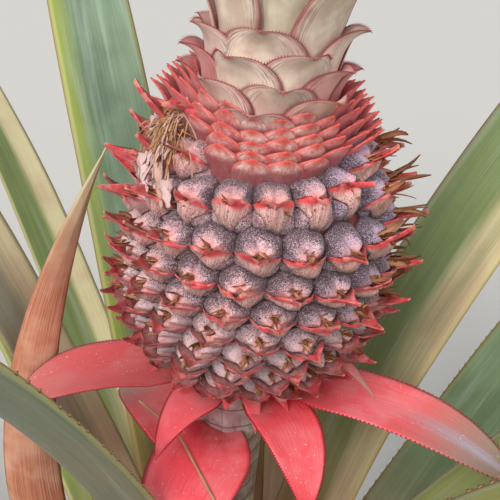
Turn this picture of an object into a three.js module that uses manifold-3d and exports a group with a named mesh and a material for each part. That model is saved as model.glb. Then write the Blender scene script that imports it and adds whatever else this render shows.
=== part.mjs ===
// A pineapple plant in young fruit, rooted in the ground, at its real size.
// Millimetres, +Z up. The origin is the middle of the flat cut under the stem, at ground level.
// A short club-shaped stem carries a spiral of strap leaves. A stalk rises from its top to the
// fruit, with bracts below it and a tuft of leaves, the crown, on top. The open side faces -Y.

import * as THREE from "three";
import { ConvexGeometry } from "three/addons/geometries/ConvexGeometry.js";
import { mergeVertices } from "three/addons/utils/BufferGeometryUtils.js";
import Module from "manifold-3d";

const wasm = await Module();
wasm.setup();

// Driving dimensions
const GAP = 0.3; // left between pieces that touch
const GOLDEN_TURN = 137.508; // degrees round the axis from one organ to the next

const STEM_HEIGHT = 225;
const STEM_FOOT_RADIUS = 28;
const STEM_TOP_RADIUS = 35;
const STEM_FLARE = 3; // how much wider the stem is where it leaves the ground
const STEM_FLARE_TOP = 14;
const STEM_WIDEST_AT = 170;
const STEM_SHOULDER_AT = 205;
const STEM_CAP_RADIUS = 22; // of the flat top that the stalk rises from

const FRUIT_CENTRE = [14, 0, 440];
const FRUIT_LEAN = 5.8; // degrees towards +X
const FRUIT_RADIUS = 44; // of the flesh under the berries
const FRUIT_HALF_HEIGHT = 49; // where the rounded ends would close
const FRUIT_ROUNDNESS = 2.6; // exponent of the outline, 2 is an ellipse
const FRUIT_FOOT = -45; // flat ends, above and below the centre
const FRUIT_SHOULDER = 40;
const BERRY_COUNT = 144;

const STALK_FOOT_RADIUS = 12;
const STALK_TOP_RADIUS = 14;

const LEAF_COUNT = 26;
const LEAF_WIDTH = 52;
const LEAF_LOWEST = 24; // height of the lowest leaf's foot
const LEAF_STEP = 7; // from one leaf's foot up to the next

const LEAF_GREEN = 0x7d8a66;
const DRY_BROWN = 0x9c6448;
const BRACT_RED = 0xd8505a;
const COLLAR_PINK = 0xcf7f78;
const CROWN_PALE = 0xc9b3a3;
const BERRY_MAUVE = 0xa68d96;
const STEM_TAN = 0x8a7860;
const STALK_GREY = 0xa98b8b;

const degrees = Math.PI / 180;
const leanAxis = new THREE.Vector3(Math.sin(FRUIT_LEAN * degrees), 0, Math.cos(FRUIT_LEAN * degrees));
const mix = (a, b, t) => a + (b - a) * t;

// Outlines along a blade, from its foot at 0 to its tip at 1, as shares of the full width
const strap = (s) => (s < 0.4 ? 1 : Math.max(0.04, 1 - ((s - 0.4) / 0.6) ** 1.8));
const lance = (s) =>
  Math.max(0.05, 0.72 + 0.28 * Math.sin(Math.PI * Math.min(s / 0.56, 0.5)) - 0.98 * s ** 2.6);
const tongue = (s) =>
  s < 0.35 ? mix(0.45, 1, Math.sin((Math.PI / 0.7) * s)) : Math.max(0.05, 1 - ((s - 0.35) / 0.65) ** 2.2);

// The line down the middle of a blade: it leaves the axis at an azimuth and rises at an angle
// that changes from foot to tip, and it may swing sideways.
function midline(b) {
  const STEPS = 96;
  const at = [];
  const turn = b.azimuth * degrees;
  let p = new THREE.Vector3(b.radius * Math.cos(turn), b.radius * Math.sin(turn), b.height);
  for (let k = 0; k <= STEPS; k++) {
    const s = k / STEPS;
    const heading = (b.azimuth + (b.swing ?? 0) * s) * degrees;
    const rise = mix(b.rise[0], b.rise[1], s ** (b.ease ?? 1)) * degrees;
    const ahead = new THREE.Vector3(
      Math.cos(rise) * Math.cos(heading),
      Math.cos(rise) * Math.sin(heading),
      Math.sin(rise),
    );
    const side = new THREE.Vector3(Math.sin(heading), -Math.cos(heading), 0);
    side.applyAxisAngle(ahead, mix(0, b.roll ?? 0, Math.min(1, s * 2)) * degrees);
    at.push({ p: p.clone(), ahead, side, up: side.clone().cross(ahead) });
    p = p.addScaledVector(ahead, b.length / STEPS);
  }
  return (s) => at[Math.round(s * STEPS)];
}

// A leaf or bract: a box of small faces bent to the midline, with an outline, and a gutter that
// clasps the axis at the foot and opens out towards the tip. Thick in the middle, thin at the margins.
function blade(b) {
  const line = midline(b);
  const box = new THREE.BoxGeometry(1, 1, 1, b.across ?? 4, b.along ?? 8, 1);
  box.deleteAttribute("normal");
  box.deleteAttribute("uv");
  const g = mergeVertices(box, 1e-4);
  const place = g.getAttribute("position");
  for (let i = 0; i < place.count; i++) {
    const u = place.getX(i) * 2;
    const s = place.getY(i) + 0.5;
    const v = place.getZ(i);
    const { p, side, up } = line(s);
    const half = (b.width / 2) * b.outline(s);
    const clasp = half / b.clasp;
    const gutter = mix(clasp, b.gutter ?? 0.35, Math.min(1, s * 3.5));
    const thick = mix(b.thick[0], b.thick[1], s) * mix(1, 0.3, u * u);
    const bend = u * gutter;
    const out = (half * Math.sin(bend)) / gutter - v * thick * Math.sin(bend);
    const lift = (half * (1 - Math.cos(bend))) / gutter + v * thick * Math.cos(bend);
    place.setXYZ(i, ...p.clone().addScaledVector(side, out).addScaledVector(up, lift).toArray());
  }
  return g;
}

// Closed geometry to solid and back, so that pieces can be joined and cut
function solid(geometry) {
  const bare = geometry.clone();
  bare.deleteAttribute("normal");
  bare.deleteAttribute("uv");
  const g = mergeVertices(bare, 1e-4);
  return new wasm.Manifold(
    new wasm.Mesh({
      numProp: 3,
      vertProperties: new Float32Array(g.getAttribute("position").array),
      triVerts: new Uint32Array(g.index.array),
    }),
  );
}

function geometryOf(body) {
  const mesh = body.getMesh();
  const g = new THREE.BufferGeometry();
  g.setAttribute("position", new THREE.BufferAttribute(mesh.vertProperties, 3));
  g.setIndex(new THREE.BufferAttribute(mesh.triVerts, 1));
  return g;
}

// A turned shape about +Z from [radius, height] pairs that start and end on the axis
function turned(profile, sides) {
  const points = profile.map(([r, z]) => new THREE.Vector2(r, z));
  return new THREE.LatheGeometry(points, sides).rotateX(Math.PI / 2);
}

function piece(name, geometry, color, roughness = 0.7) {
  const material = new THREE.MeshStandardMaterial({ color, roughness, metalness: 0 });
  const mesh = new THREE.Mesh(geometry, material);
  mesh.name = name;
  return mesh;
}

// Stem: a short club, widest under the leaves' heart, with a slight flare at the ground
const stemProfile = (grow) => [
  [0, -grow],
  [STEM_FOOT_RADIUS + STEM_FLARE + grow, -grow],
  [STEM_FOOT_RADIUS + grow, STEM_FLARE_TOP],
  [mix(STEM_FOOT_RADIUS, STEM_TOP_RADIUS, 0.5) + grow, mix(STEM_FLARE_TOP, STEM_WIDEST_AT, 0.5)],
  [STEM_TOP_RADIUS + grow, STEM_WIDEST_AT],
  [STEM_TOP_RADIUS - 2 + grow, STEM_SHOULDER_AT],
  [STEM_CAP_RADIUS + grow, STEM_HEIGHT + grow],
  [0, STEM_HEIGHT + grow],
];

// Strap leaves: the outer, lower ones are old and lie low, the inner ones stand up. Each is set a
// golden turn on from the last and a step higher, so that none touches another. Some stray from the
// rule: their azimuths and slopes are those of the leaves that can be seen round the fruit.
const LEAF_FIRST_AZIMUTH = 20;
const LEAF_SHORTEST = 560;
const LEAF_LONGER = 300; // what the longest leaves have over the shortest
const LEAF_FOOT_RADIUS = STEM_TOP_RADIUS - 8; // inside the stem, which cuts the foot to fit
const LEAF_CLASP = STEM_TOP_RADIUS + 2; // radius that a foot curls to
const STRAYS = {
  11: { azimuth: 84, width: 50 },
  13: { azimuth: 8, rise: [58, 12] },
  14: { azimuth: 121, rise: [55, 4], swing: 6, width: 36, roll: 24 },
  16: { azimuth: 79, rise: [58, 0], width: 46 },
  17: { azimuth: 219 },
  18: { azimuth: 328, rise: [72, 10] },
  19: { azimuth: 112, rise: [66, 20], swing: -4, width: 50 },
  20: { azimuth: 243, rise: [72, 4], swing: -12 },
  21: { azimuth: 25, rise: [79, -3], swing: -7, roll: -15 },
  22: { azimuth: 158, rise: [74, 25], width: 34 },
  23: { azimuth: 308, rise: [83, -14], swing: 1, width: 40 },
  24: { azimuth: 86, rise: [87, 10], ease: 0.8, width: 38 },
  25: { azimuth: 227, rise: [87, -17], swing: 2, width: 42 },
};
function leafAt(i) {
  const f = i / (LEAF_COUNT - 1);
  return {
    azimuth: LEAF_FIRST_AZIMUTH + i * GOLDEN_TURN,
    height: LEAF_LOWEST + i * LEAF_STEP,
    radius: LEAF_FOOT_RADIUS,
    length: LEAF_SHORTEST + LEAF_LONGER * Math.sin(Math.PI * Math.min(1, 0.15 + f * 0.75)),
    width: LEAF_WIDTH * mix(0.92, 1, Math.sin(Math.PI * f)),
    rise: [mix(22, 82, f), mix(-30, 30, f)],
    ease: 1.3,
    thick: [9, 4.5],
    clasp: LEAF_CLASP,
    outline: strap,
    ...STRAYS[i],
  };
}

// One old leaf, dead and dry, turns on its side and curls up beside the fruit
const DRY_LEAF = {
  azimuth: 172,
  height: 122,
  radius: LEAF_FOOT_RADIUS,
  length: 370,
  width: 22,
  swing: 48,
  roll: 70,
  rise: [53, 126],
  thick: [5, 3.8],
  clasp: LEAF_CLASP,
  outline: strap,
};

// Stalk: from the top of the stem, bending into the lean of the fruit
function stalkGeometry() {
  const RINGS = 6;
  const foot = STEM_HEIGHT + GAP;
  const top = new THREE.Vector3(...FRUIT_CENTRE).addScaledVector(leanAxis, FRUIT_FOOT - GAP);
  const rise = top.z - foot;
  const profile = [[0, 0]];
  for (let k = 0; k <= RINGS; k++) {
    profile.push([mix(STALK_FOOT_RADIUS, STALK_TOP_RADIUS, k / RINGS), (rise * k) / RINGS]);
  }
  profile.push([0, rise]);
  const g = turned(profile, 14);
  const place = g.getAttribute("position");
  for (let i = 0; i < place.count; i++) {
    const [x, y, z] = [place.getX(i), place.getY(i), place.getZ(i)];
    const t = z / rise;
    const tilt = t * FRUIT_LEAN * degrees;
    place.setXYZ(i, top.x * t * t + x * Math.cos(tilt), y, foot + z - x * Math.sin(tilt));
  }
  return g;
}

// Fruit: rounded flesh covered in berries, on a golden-turn lattice of cells equal in area. Each berry
// is a low dome with the pointed tip of its bract standing out from its lower side.
const fleshRadius = (z) =>
  FRUIT_RADIUS * (1 - Math.abs(z / FRUIT_HALF_HEIGHT) ** FRUIT_ROUNDNESS) ** (1 / FRUIT_ROUNDNESS);

// Spots on a turned surface, a golden turn apart and each with the same area: its place, the
// directions sideways, up the surface and out of it, and its share of the way from foot to top
function latticeOver(radiusAt, from, to, count) {
  const STEPS = 400;
  const area = [0];
  for (let k = 0; k < STEPS; k++) {
    const [a, b] = [mix(from, to, k / STEPS), mix(from, to, (k + 1) / STEPS)];
    const [ra, rb] = [radiusAt(a), radiusAt(b)];
    area.push(area[k] + (ra + rb) * Math.hypot(b - a, rb - ra));
  }
  const spots = [];
  for (let i = 0, k = 0; i < count; i++) {
    const goal = ((i + 0.5) / count) * area[STEPS];
    while (area[k + 1] < goal) k++;
    const z = mix(from, to, (k + (goal - area[k]) / (area[k + 1] - area[k])) / STEPS);
    const turn = i * GOLDEN_TURN * degrees;
    const away = new THREE.Vector3(Math.cos(turn), Math.sin(turn), 0);
    const side = new THREE.Vector3(-Math.sin(turn), Math.cos(turn), 0);
    const slope = radiusAt(z + 0.5) - radiusAt(z - 0.5);
    const up = away.clone().multiplyScalar(slope).add(new THREE.Vector3(0, 0, 1)).normalize();
    const out = side.clone().cross(up);
    spots.push({ base: away.multiplyScalar(radiusAt(z)).setZ(z), side, up, out, share: i / (count - 1) });
  }
  return spots;
}

function fruitGeometry() {
  const BERRY_PROUD = 4;
  const EDGE_PROUD = 2.8; // of the ring round a berry's middle
  const EDGE_SHARE = 0.62; // of the way from its middle to the groove
  const TIP_REACH = 11; // of a bract's tip beyond the flesh
  const TIP_REACH_AT_ENDS = 5;
  const foot = new THREE.Vector3(0, 0, FRUIT_FOOT);
  const shoulder = new THREE.Vector3(0, 0, FRUIT_SHOULDER);
  const spots = latticeOver(fleshRadius, FRUIT_FOOT + 2, FRUIT_SHOULDER - 1.5, BERRY_COUNT);
  const centres = [...spots.map((spot) => spot.base), foot, shoulder];

  // The hull of the centres joins neighbours by threes. The middle of each three, put back on the
  // flesh, is a corner that their cells share.
  const hull = new ConvexGeometry(centres).getAttribute("position");
  const nearer = (p, i, k) => (centres[k].distanceToSquared(p) < centres[i].distanceToSquared(p) ? k : i);
  const centreAt = (p) => centres.reduce((best, _, i) => nearer(p, best, i), 0);
  const points = centres.map((c) => c.clone());
  const corners = centres.map(() => []);
  for (let i = 0; i < hull.count; i += 3) {
    const three = [0, 1, 2].map((k) => centreAt(new THREE.Vector3().fromBufferAttribute(hull, i + k)));
    const corner = new THREE.Vector3();
    three.forEach((k) => corner.addScaledVector(centres[k], 1 / 3));
    if (Math.max(...three) < BERRY_COUNT) {
      const out = fleshRadius(corner.z) / Math.hypot(corner.x, corner.y);
      corner.set(corner.x * out, corner.y * out, corner.z);
    }
    three.forEach((k) => corners[k].push(points.length));
    points.push(corner);
  }

  const faces = [];
  const inTurn = (centre, side, up, ids) => {
    const angle = (id) => {
      const arm = points[id].clone().sub(centre);
      return Math.atan2(arm.dot(up), arm.dot(side));
    };
    return [...ids].sort((a, b) => angle(a) - angle(b));
  };
  const fan = (middle, ids) => ids.forEach((id, k) => faces.push(middle, id, ids[(k + 1) % ids.length]));
  spots.forEach((spot, i) => {
    const groove = inTurn(spot.base, spot.side, spot.up, corners[i]);
    const edge = groove.map((_, k) => points.length + k);
    for (const id of groove) {
      points.push(spot.base.clone().lerp(points[id], EDGE_SHARE).addScaledVector(spot.out, EDGE_PROUD));
    }
    const upwards = (id) => points[id].clone().sub(spot.base).dot(spot.up);
    const tip = edge.reduce((a, b) => (upwards(b) < upwards(a) ? b : a));
    const reach = mix(TIP_REACH_AT_ENDS, TIP_REACH, Math.min(1, 6 * spot.share, 12 * (1 - spot.share)));
    points[tip].copy(spot.base).addScaledVector(spot.up, mix(-4, 2, spot.share));
    points[tip].addScaledVector(spot.out, reach);
    points[i].addScaledVector(spot.out, BERRY_PROUD);
    fan(i, edge);
    groove.forEach((id, k) => {
      const next = (k + 1) % groove.length;
      faces.push(edge[k], id, groove[next], edge[k], groove[next], edge[next]);
    });
  });
  const [x, y] = [new THREE.Vector3(1, 0, 0), new THREE.Vector3(0, 1, 0)];
  fan(BERRY_COUNT, inTurn(foot, y, x, corners[BERRY_COUNT]));
  fan(BERRY_COUNT + 1, inTurn(shoulder, x, y, corners[BERRY_COUNT + 1]));

  // The crown stands on a flat shoulder
  for (const p of points) {
    if (Math.hypot(p.x, p.y) < COLLAR_FOOT_RADIUS + 7) p.z = Math.min(p.z, FRUIT_SHOULDER);
  }
  const g = new THREE.BufferGeometry().setFromPoints(points);
  g.setIndex(faces);
  return g;
}

// Crown: a collar of small pointed scales, then tiles, short and broad, both fused to a core. The
// leaves above them flare out, each set a golden turn on, round a heart that ends the axis.
const COLLAR_FOOT = FRUIT_SHOULDER + GAP;
const COLLAR_FOOT_RADIUS = 31;
const COLLAR_TOP = 56;
const COLLAR_TOP_RADIUS = 24;
const TILES_TOP = 80;
const TILES_RADIUS = 21.5;
const TAPER_FROM = 68; // height at which the core starts to narrow
const HEART_TOP = 112;
const HEART_TOP_RADIUS = 6;
const COLLAR_SCALES = 42;
const TILES = 13;
const CROWN_LEAVES = 12;
const crownRadius = (z) =>
  z < COLLAR_TOP
    ? mix(COLLAR_FOOT_RADIUS, COLLAR_TOP_RADIUS, (z - COLLAR_FOOT) / (COLLAR_TOP - COLLAR_FOOT))
    : mix(TILES_RADIUS, HEART_TOP_RADIUS, Math.max(0, z - TAPER_FROM) / (HEART_TOP - TAPER_FROM));

// A convex lump at a spot of a lattice, from points given [sideways, upwards, outwards]
function lump(spot, points) {
  const placed = points.map(([a, b, c]) =>
    spot.base.clone().addScaledVector(spot.side, a).addScaledVector(spot.up, b).addScaledVector(spot.out, c),
  );
  return solid(new ConvexGeometry(placed));
}

function crownHeart(grow) {
  const foot = TILES_TOP + GAP;
  const profile = [
    [0, foot - grow],
    [crownRadius(foot) + grow, foot - grow],
    [HEART_TOP_RADIUS + grow, HEART_TOP + grow],
    [0, HEART_TOP + grow],
  ];
  return solid(turned(profile, 14));
}

function crownBase() {
  const rings = [COLLAR_FOOT, COLLAR_TOP - 0.01, COLLAR_TOP, TILES_TOP];
  const profile = [[0, COLLAR_FOOT], ...rings.map((z) => [crownRadius(z), z]), [0, TILES_TOP]];
  const pointed = [
    [-5, -4, -1], [5, -4, -1], [-4.5, 0, 2], [4.5, 0, 2], [0, -3, 2.6], [2, 8, 6.5], [0, 3, -2],
  ];
  const broad = [
    [-9, -6, -1.5], [9, -6, -1.5], [-10, 1, -1], [10, 1, -1], [-6, 7, 2], [6, 7, 2], [0, -3, 3.4], [1, 12, 5],
    [0, 5, -2],
  ];
  const scales = latticeOver(crownRadius, COLLAR_FOOT + 4, COLLAR_TOP - 2, COLLAR_SCALES);
  const tiles = latticeOver(crownRadius, COLLAR_TOP + 1, TILES_TOP - 1, TILES);
  return wasm.Manifold.union([
    solid(turned(profile, 18)),
    ...scales.map((spot) => lump(spot, pointed)),
    ...tiles.map((spot) => lump(spot, broad)),
  ]).subtract(crownHeart(GAP));
}

function crownLeafAt(i) {
  const f = i / (CROWN_LEAVES - 1);
  const height = mix(TILES_TOP + 2.5, HEART_TOP - 8, f);
  return {
    azimuth: 265 + i * GOLDEN_TURN,
    height,
    radius: crownRadius(height) - 2,
    length: mix(48, 92, f),
    width: mix(25, 19, f),
    rise: [mix(66, 84, f), mix(28, 42, f)],
    ease: 1.2,
    thick: [2.6, 1.4],
    clasp: crownRadius(height) + 2,
    outline: lance,
    across: 3,
    along: 5,
  };
}

// Bracts, heights from the fruit's centre: [azimuth, height, length, width, rise at the foot, rise at
// the tip, swing]. An upper and a lower whorl under the fruit, then three further down the stalk.
const BRACTS = [
  [177, -57, 76, 27, 24, -62, 22],
  [334, -57, 97, 28, 22, -22, -10],
  [40, -57, 66, 22, 24, -40, 0],
  [110, -57, 70, 22, 24, -40, 0],
  [232, -62, 44, 20, 24, -62, 10],
  [302, -62, 61, 23, 26, -60, -26],
  [6, -62, 44, 18, 20, -40, 0],
  [75, -62, 50, 20, 20, -45, 0],
  [132, -62, 46, 20, 20, -40, 0],
  [258, -80, 60, 38, 10, -74, 0],
  [50, -100, 50, 30, 25, -50, 0],
  [135, -120, 70, 34, 30, -40, 0],
];
const BRACT_REACH = 140; // how far down the stalk bracts are cut clear of it
function bractAt([azimuth, height, length, width, foot, tip, swing]) {
  return {
    azimuth,
    height,
    radius: STALK_TOP_RADIUS - 3,
    length,
    width,
    swing,
    rise: [foot, tip],
    ease: 1.4,
    thick: [2.4, 1.4],
    clasp: Math.max(STALK_TOP_RADIUS + 1, width / 2.4),
    gutter: 0.3,
    outline: tongue,
    across: 3,
    along: 6,
  };
}

// Assembly
const numbered = (name, i) => `${name}_${String(i + 1).padStart(2, "0")}`;
const root = new THREE.Group();
root.add(piece("stem", turned(stemProfile(0), 18), STEM_TAN, 0.9));
const stemClearance = solid(turned(stemProfile(GAP), 18));
for (let i = 0; i < LEAF_COUNT; i++) {
  const body = solid(blade(leafAt(i))).subtract(stemClearance);
  root.add(piece(numbered("leaf", i), geometryOf(body), LEAF_GREEN));
}
root.add(piece("dry_leaf", geometryOf(solid(blade(DRY_LEAF)).subtract(stemClearance)), DRY_BROWN, 0.9));
root.add(piece("stalk", stalkGeometry(), STALK_GREY));

const top = new THREE.Group(); // leaning with the fruit
top.position.set(...FRUIT_CENTRE);
top.rotation.y = FRUIT_LEAN * degrees;
root.add(top);
const clearRadius = STALK_TOP_RADIUS + GAP;
const clearProfile = [
  [0, -BRACT_REACH],
  [clearRadius, -BRACT_REACH],
  [clearRadius, FRUIT_FOOT],
  [0, FRUIT_FOOT],
];
const stalkClearance = solid(turned(clearProfile, 14));
BRACTS.forEach((row, i) => {
  const body = solid(blade(bractAt(row))).subtract(stalkClearance);
  top.add(piece(numbered("bract", i), geometryOf(body), BRACT_RED));
});
top.add(piece("fruit", fruitGeometry(), BERRY_MAUVE, 0.5));
top.add(piece("crown_base", geometryOf(crownBase()), COLLAR_PINK, 0.6));
top.add(piece("crown_heart", geometryOf(crownHeart(0)), CROWN_PALE, 0.6));
const heartClearance = crownHeart(GAP);
for (let i = 0; i < CROWN_LEAVES; i++) {
  const body = solid(blade(crownLeafAt(i))).subtract(heartClearance);
  top.add(piece(numbered("crown_leaf", i), geometryOf(body), CROWN_PALE));
}

export default root;
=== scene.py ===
# A pineapple plant in young fruit, rooted in the ground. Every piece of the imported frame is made
# again here, finer, within the same reach. Lengths in the functions are millimetres of the frame.
import bpy
import numpy as np
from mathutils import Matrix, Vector


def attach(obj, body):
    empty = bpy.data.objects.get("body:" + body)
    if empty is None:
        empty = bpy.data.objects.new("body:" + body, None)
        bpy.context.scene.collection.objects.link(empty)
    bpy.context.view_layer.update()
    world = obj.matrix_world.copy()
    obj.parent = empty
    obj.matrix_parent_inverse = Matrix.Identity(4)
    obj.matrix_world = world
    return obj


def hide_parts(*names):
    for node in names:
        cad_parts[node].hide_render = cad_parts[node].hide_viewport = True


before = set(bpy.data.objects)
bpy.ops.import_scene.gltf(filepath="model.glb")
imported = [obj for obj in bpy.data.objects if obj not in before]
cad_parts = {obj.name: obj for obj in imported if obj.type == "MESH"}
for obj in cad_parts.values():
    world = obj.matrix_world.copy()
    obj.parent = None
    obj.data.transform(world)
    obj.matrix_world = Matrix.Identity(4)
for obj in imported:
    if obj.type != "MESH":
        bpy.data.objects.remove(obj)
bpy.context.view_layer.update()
scene = bpy.context.scene


# Studio: a plain pale floor, soft daylight from a pale sky and two wide and distant lamps, and a
# camera held close above the fruit, looking down at it at thirty degrees.
FRUIT_CENTRE = np.array([14.0, 0.0, 440.0])
VIEW_DISTANCE = 247
VIEW_SLOPE = np.radians(30)
VIEW_HALF_ANGLE = np.radians(20)
LAMPS = {  # the way to it in metres, degrees across, watts on a square metre, colour
    "key_lamp": ((-1.5, -2.1, 2.8), 36, 2.92, (1.0, 0.95, 0.89)),
    "fill_lamp": ((2.1, -1.9, 1.7), 44, 1.15, (0.95, 0.96, 1.0)),
}
FLOOR_REACH = 9  # metres, from its middle to each side


def tint(code):
    """A colour from six hex digits, turned into the linear numbers that shaders take."""
    c = np.array([int(code[k : k + 2], 16) for k in (0, 2, 4)]) / 255
    c = np.where(c < 0.04045, c / 12.92, ((c + 0.055) / 1.055) ** 2.4)
    return (*c.tolist(), 1.0)


scene.view_settings.view_transform = "Standard"
view = bpy.data.cameras.new("camera")
view.lens = view.sensor_width / 2 / np.tan(VIEW_HALF_ANGLE)
view.clip_start = 0.01
camera = bpy.data.objects.new("camera", view)
back_off = np.array([0, -np.cos(VIEW_SLOPE), np.sin(VIEW_SLOPE)]) * VIEW_DISTANCE
camera.location = (FRUIT_CENTRE + back_off) * 0.001
camera.rotation_euler = (np.pi / 2 - VIEW_SLOPE, 0, 0)
scene.collection.objects.link(camera)
scene.camera = camera

for name, (place, width, watts, colour) in LAMPS.items():
    light = bpy.data.lights.new(name, "SUN")
    light.angle, light.energy, light.color = np.radians(width), watts, colour
    lamp = bpy.data.objects.new(name, light)
    lamp.location = place
    aim = Vector(FRUIT_CENTRE * 0.001) - Vector(place)
    lamp.rotation_euler = aim.to_track_quat("-Z", "Y").to_euler()
    scene.collection.objects.link(lamp)

sky = bpy.data.worlds.new("sky")
sky.use_nodes = True
glow = sky.node_tree.nodes["Background"].inputs
glow["Color"].default_value = tint("eef0f2")
glow["Strength"].default_value = 0.7
scene.world = sky

floor_paper = bpy.data.materials.new("floor_paper")
floor_paper.use_nodes = True
matt = floor_paper.node_tree.nodes["Principled BSDF"].inputs
matt["Base Color"].default_value = tint("b9b8b5")
matt["Roughness"].default_value = 0.9
floor_mesh = bpy.data.meshes.new("floor")
corners = [(x * FLOOR_REACH, y * FLOOR_REACH, 0) for x, y in ((-1, -1), (1, -1), (1, 1), (-1, 1))]
floor_mesh.from_pydata(corners, [], [(0, 1, 2, 3)])
floor_mesh.materials.append(floor_paper)
floor = bpy.data.objects.new("floor", floor_mesh)
scene.collection.objects.link(floor)


# Stem: a short woody club. It is ringed with the scars of fallen leaves and wrapped in the feet of
# those that are left, which clasp it one over another.
STEM_HEIGHT = 225
STEM_OUTLINE = [0, 14, 92, 170, 205, 225], [31, 28, 31.5, 35, 33, 22]  # heights, radii
STEM_RINGS = 240
STEM_ROUND = 72
SCAR_STEP = 7
SCAR_DEPTH = 0.7


class Finish:
    """A material: one shader, and the nodes that work out its colour and its bumps."""

    def __init__(self, name, roughness, sheen=0.0, soft=0.0):
        self.material = bpy.data.materials.new(name)
        self.material.use_nodes = True
        self.tree = self.material.node_tree
        self.shader = self.tree.nodes["Principled BSDF"]
        self.shader.inputs["Roughness"].default_value = roughness
        self.shader.inputs["Sheen Weight"].default_value = sheen
        self.shader.inputs["Subsurface Weight"].default_value = soft
        self.shader.inputs["Subsurface Scale"].default_value = 0.002

    def node(self, kind, inputs, **settings):
        """Adds a node. Each input is a number, six hex digits for a colour, another node's output, or
        such an output with two numbers, which stands for a step between them."""
        made = self.tree.nodes.new(kind)
        for key, value in settings.items():
            setattr(made, key, value)
        for key, value in inputs.items():
            if isinstance(value, str):
                value = tint(value)
            if isinstance(value, tuple) and isinstance(value[0], bpy.types.NodeSocket):
                value = self.step(*value)
            if isinstance(value, bpy.types.NodeSocket):
                self.tree.links.new(value, made.inputs[key])
            else:
                made.inputs[key].default_value = value
        return made

    def mark(self, name):
        """A number that the mesh carries for each of its points."""
        return self.node("ShaderNodeAttribute", {}, attribute_name=name).outputs["Fac"]

    def marks(self, names):
        """Several of these numbers."""
        return [self.mark(name) for name in names.split()]

    def sum(self, how, a, b=0.0, c=0.0):
        """One step of arithmetic on numbers."""
        return self.node("ShaderNodeMath", {0: a, 1: b, 2: c}, operation=how).outputs[0]

    def times(self, a, b, plus=0.0):
        """One number times another, plus a third."""
        return self.sum("MULTIPLY_ADD", a, b, plus)

    def body(self):
        """The place on the piece, in metres of the frame."""
        return self.node("ShaderNodeTexCoord", {}).outputs["Object"]

    def noise(self, scale, detail=3.0, rough=0.55, place=None):
        """Smooth random numbers about a half, at a number of waves to the metre of the frame or to
        the unit of another place."""
        if place is None:
            place = self.body()
        inputs = {"Vector": place, "Scale": scale, "Detail": detail, "Roughness": rough}
        return self.node("ShaderNodeTexNoise", inputs).outputs["Fac"]

    def grain(self, wide, long, scale, detail, lots=1):
        """Noise drawn out on a blade. It reads how far across and along the blade a point is, and the
        lot that sets the blade apart from the next, each multiplied by a number."""
        marks = {"across": wide, "along": long, "lot": lots}
        inputs = [self.times(self.mark(mark), number) for mark, number in marks.items()]
        place = self.node("ShaderNodeCombineXYZ", dict(enumerate(inputs))).outputs[0]
        return self.noise(scale, detail, place=place)

    def step(self, value, low, high):
        """0 below low, 1 above high, and a smooth change between them."""
        inputs = {"Value": value, "From Min": low, "From Max": high}
        return self.node("ShaderNodeMapRange", inputs, interpolation_type="SMOOTHSTEP").outputs[0]

    def blend(self, share, a, b, amount=1.0, how="MIX"):
        """Colour a, changed towards colour b by a share times an amount."""
        if amount < 1:
            share = self.times(share, amount)
        inputs = {0: share, 6: a, 7: b}
        return self.node("ShaderNodeMix", inputs, data_type="RGBA", blend_type=how).outputs[2]

    def paint(self, share, a, b, amount=1.0, how="MIX"):
        """Gives the shader a blend of two colours."""
        self.colour = self.blend(share, a, b, amount, how)
        self.tree.links.new(self.colour, self.shader.inputs["Base Color"])
        return self

    def wash(self, share, over, amount=1.0, how="MIX"):
        """Changes the shader's colour towards another one."""
        return self.paint(share, self.colour, over, amount, how)

    def emboss(self, height, depth):
        """Raises the surface by height, 0 to 1, times depth in millimetres."""
        inputs = {"Height": height, "Distance": depth * 0.001, "Strength": 1.0}
        bump = self.node("ShaderNodeBump", inputs)
        self.tree.links.new(bump.outputs[0], self.shader.inputs["Normal"])
        return self


def lay(name, points, quads, fans, finish, slot, replaced=(), **marks):
    """Puts a mesh into the scene: points in millimetres, faces of four and of three, and marks, one
    number for each point, which the finish reads by name."""
    mesh = bpy.data.meshes.new(name)
    mesh.vertices.add(len(points))
    mesh.vertices.foreach_set("co", (points * 0.001).astype(np.float32).ravel())
    mesh.loops.add(quads.size + fans.size)
    mesh.loops.foreach_set("vertex_index", np.concatenate([quads.ravel(), fans.ravel()]).astype(np.int32))
    mesh.polygons.add(len(quads) + len(fans))
    starts = np.concatenate([np.arange(len(quads)) * 4, quads.size + np.arange(len(fans)) * 3])
    mesh.polygons.foreach_set("loop_start", starts.astype(np.int32))
    mesh.polygons.foreach_set("use_smooth", np.ones(len(starts), bool))
    for mark, values in marks.items():
        holder = mesh.attributes.new(mark, "FLOAT", "POINT")
        holder.data.foreach_set("value", values.astype(np.float32).ravel())
    mesh.update(calc_edges=True)
    mesh.materials.append(finish.material)
    piece = bpy.data.objects.new(name, mesh)
    scene.collection.objects.link(piece)
    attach(piece, "root")
    if replaced:
        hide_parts(*replaced)
    return piece


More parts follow.
